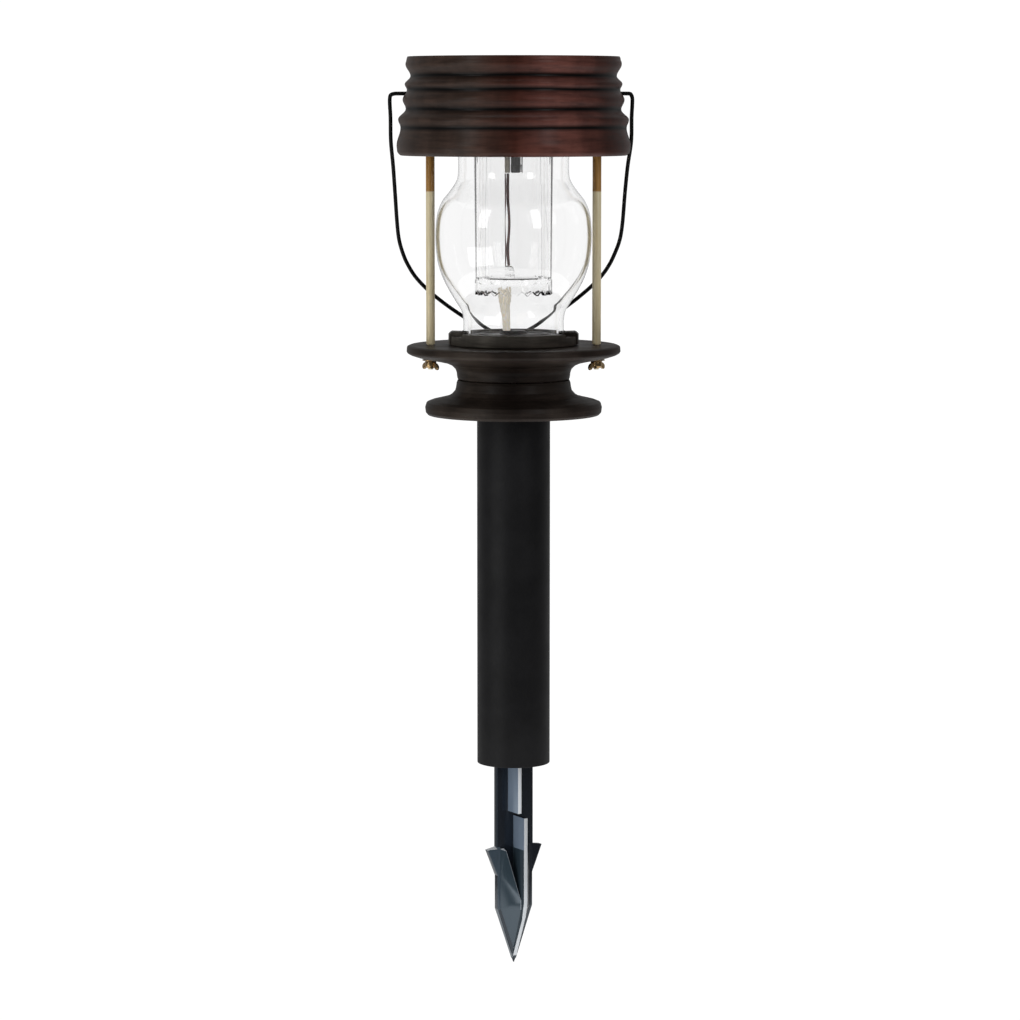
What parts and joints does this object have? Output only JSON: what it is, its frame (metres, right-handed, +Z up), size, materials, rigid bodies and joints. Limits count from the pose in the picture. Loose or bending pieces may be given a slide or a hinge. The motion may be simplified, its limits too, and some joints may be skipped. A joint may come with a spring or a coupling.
{
  "type": "garden torch lantern",
  "caption": "Solar garden torch: ribbed cap, glass globe with a light guide and wick, tie rods, spool base, bail handle, round post and barbed ground spike.",
  "frame": {"origin": "on the lantern's axis at the ground line, where the post's foot meets the soil", "axes": "+Z up along the post, +X through the right tie rod and bail pivot, -Y towards the front"},
  "size_m": [0.1168, 0.111, 0.4378],
  "materials": {
    "cap_bronze": "dark bronze-brown satin, ribbed, redder on the ribs' crests",
    "base_dark_brown": "dark brown-black satin",
    "black_plastic": "moulded satin",
    "post_black": "black satin paint",
    "spike_black": "glossy moulded, blue-grey reflections",
    "bail_black": "black coated wire",
    "brass": "polished",
    "steel": "zinc plated",
    "globe_glass": "clear blown glass",
    "guide_clear": "clear fluted plastic",
    "seal_rubber": "soft moulded",
    "solar_cell": "dark blue laminate",
    "circuit_green": "laminate",
    "battery_wrap": "shrink wrap",
    "wick_cotton": "twisted cotton",
    "cream_sleeve": "moulded",
    "red_lead": "insulation",
    "black_lead": "insulation"
  },
  "bodies": {
    "spike": {"spike": "spike_black"},
    "bush": {"end_bush": "black_plastic"},
    "post": {"post_tube": "post_black"},
    "lantern": {"cap_shell": "cap_bronze", "solar_panel": "solar_cell", "cap_floor": "black_plastic", "cap_screw_1": "steel", "cap_screw_2": "steel", "cap_screw_3": "steel", "cap_screw_4": "steel", "circuit_board": "circuit_green", "battery": "battery_wrap", "contact_spring": "steel", "contact_plate": "steel", "switch_body": "black_plastic", "panel_lead": "red_lead", "lamp_feed_lead": "black_lead", "battery_lead_minus": "black_lead", "battery_lead_plus": "red_lead", "lamp_plate": "black_plastic", "lamp_plate_screw_front": "steel", "lamp_plate_screw_back": "steel", "lamp_stem": "black_plastic", "lamp_sleeve": "cream_sleeve", "lamp_lead": "red_lead", "lamp_bead": "cream_sleeve", "light_guide": "guide_clear", "globe": "globe_glass", "globe_seal_top": "seal_rubber", "globe_seal_bottom": "seal_rubber", "tie_rod_left": "brass", "tie_rod_right": "brass", "rod_nut_left": "steel", "rod_nut_right": "steel", "globe_holder": "base_dark_brown", "burner_plate": "base_dark_brown", "wick": "wick_cotton", "base_plate": "base_dark_brown", "base_foot": "base_dark_brown", "base_screw_1": "steel", "base_screw_2": "steel", "base_screw_3": "steel", "post_adapter": "black_plastic", "adapter_screw": "steel"},
    "bail": {"bail": "bail_black", "bail_ring_left": "steel", "bail_ring_right": "steel"},
    "washer_left": {"rod_washer_left": "brass"},
    "washer_right": {"rod_washer_right": "brass"},
    "wing_nut_left": {"wing_nut_left": "brass"},
    "wing_nut_right": {"wing_nut_right": "brass"},
    "switch_button": {"switch_button": "seal_rubber"},
    "battery_door": {"battery_door": "black_plastic"}
  },
  "joints": [
    {"name": "spike_pull", "type": "slide", "parent": "spike", "child": "bush", "axis": [0, 0, 1], "range_m": [0, 0.027]},
    {"name": "post_turn", "type": "hinge", "parent": "bush", "child": "post", "pos_m": [0, 0, 0], "axis": [0, 0, 1], "continuous": true},
    {"name": "lantern_lift", "type": "slide", "parent": "post", "child": "lantern", "axis": [0, 0, 1], "range_m": [0, 0.0255]},
    {"name": "bail_swing", "type": "hinge", "parent": "lantern", "child": "bail", "pos_m": [0, 0, 0.3212], "axis": [1, 0, 0], "range_deg": [0, 320]},
    {"name": "battery_door_swing", "type": "hinge", "parent": "lantern", "child": "battery_door", "pos_m": [0, 0.0436, 0.2949], "axis": [1, 0, 0], "range_deg": [0, 90]},
    {"name": "switch_press", "type": "slide", "parent": "lantern", "child": "switch_button", "axis": [0, 0, 1], "range_m": [0, 0.0012], "stiffness_N_per_m": 500, "springref_m": -0.001},
    {"name": "washer_left_slide", "type": "slide", "parent": "lantern", "child": "washer_left", "axis": [0, 0, -1], "range_m": [0, 0.0025]},
    {"name": "wing_nut_left_turn", "type": "hinge", "parent": "washer_left", "child": "wing_nut_left", "pos_m": [-0.0396, 0, 0.1927], "axis": [0, 0, -1], "range_deg": [0, 1980]},
    {"name": "washer_right_slide", "type": "slide", "parent": "lantern", "child": "washer_right", "axis": [0, 0, -1], "range_m": [0, 0.0025]},
    {"name": "wing_nut_right_turn", "type": "hinge", "parent": "washer_right", "child": "wing_nut_right", "pos_m": [0.0396, 0, 0.1927], "axis": [0, 0, -1], "range_deg": [0, 1980]}
  ],
  "couplings": [
    {"joint": "wing_nut_left_turn", "follows": "washer_left_slide", "rad_per_m": 12566},
    {"joint": "wing_nut_right_turn", "follows": "washer_right_slide", "rad_per_m": 12566}
  ]
}
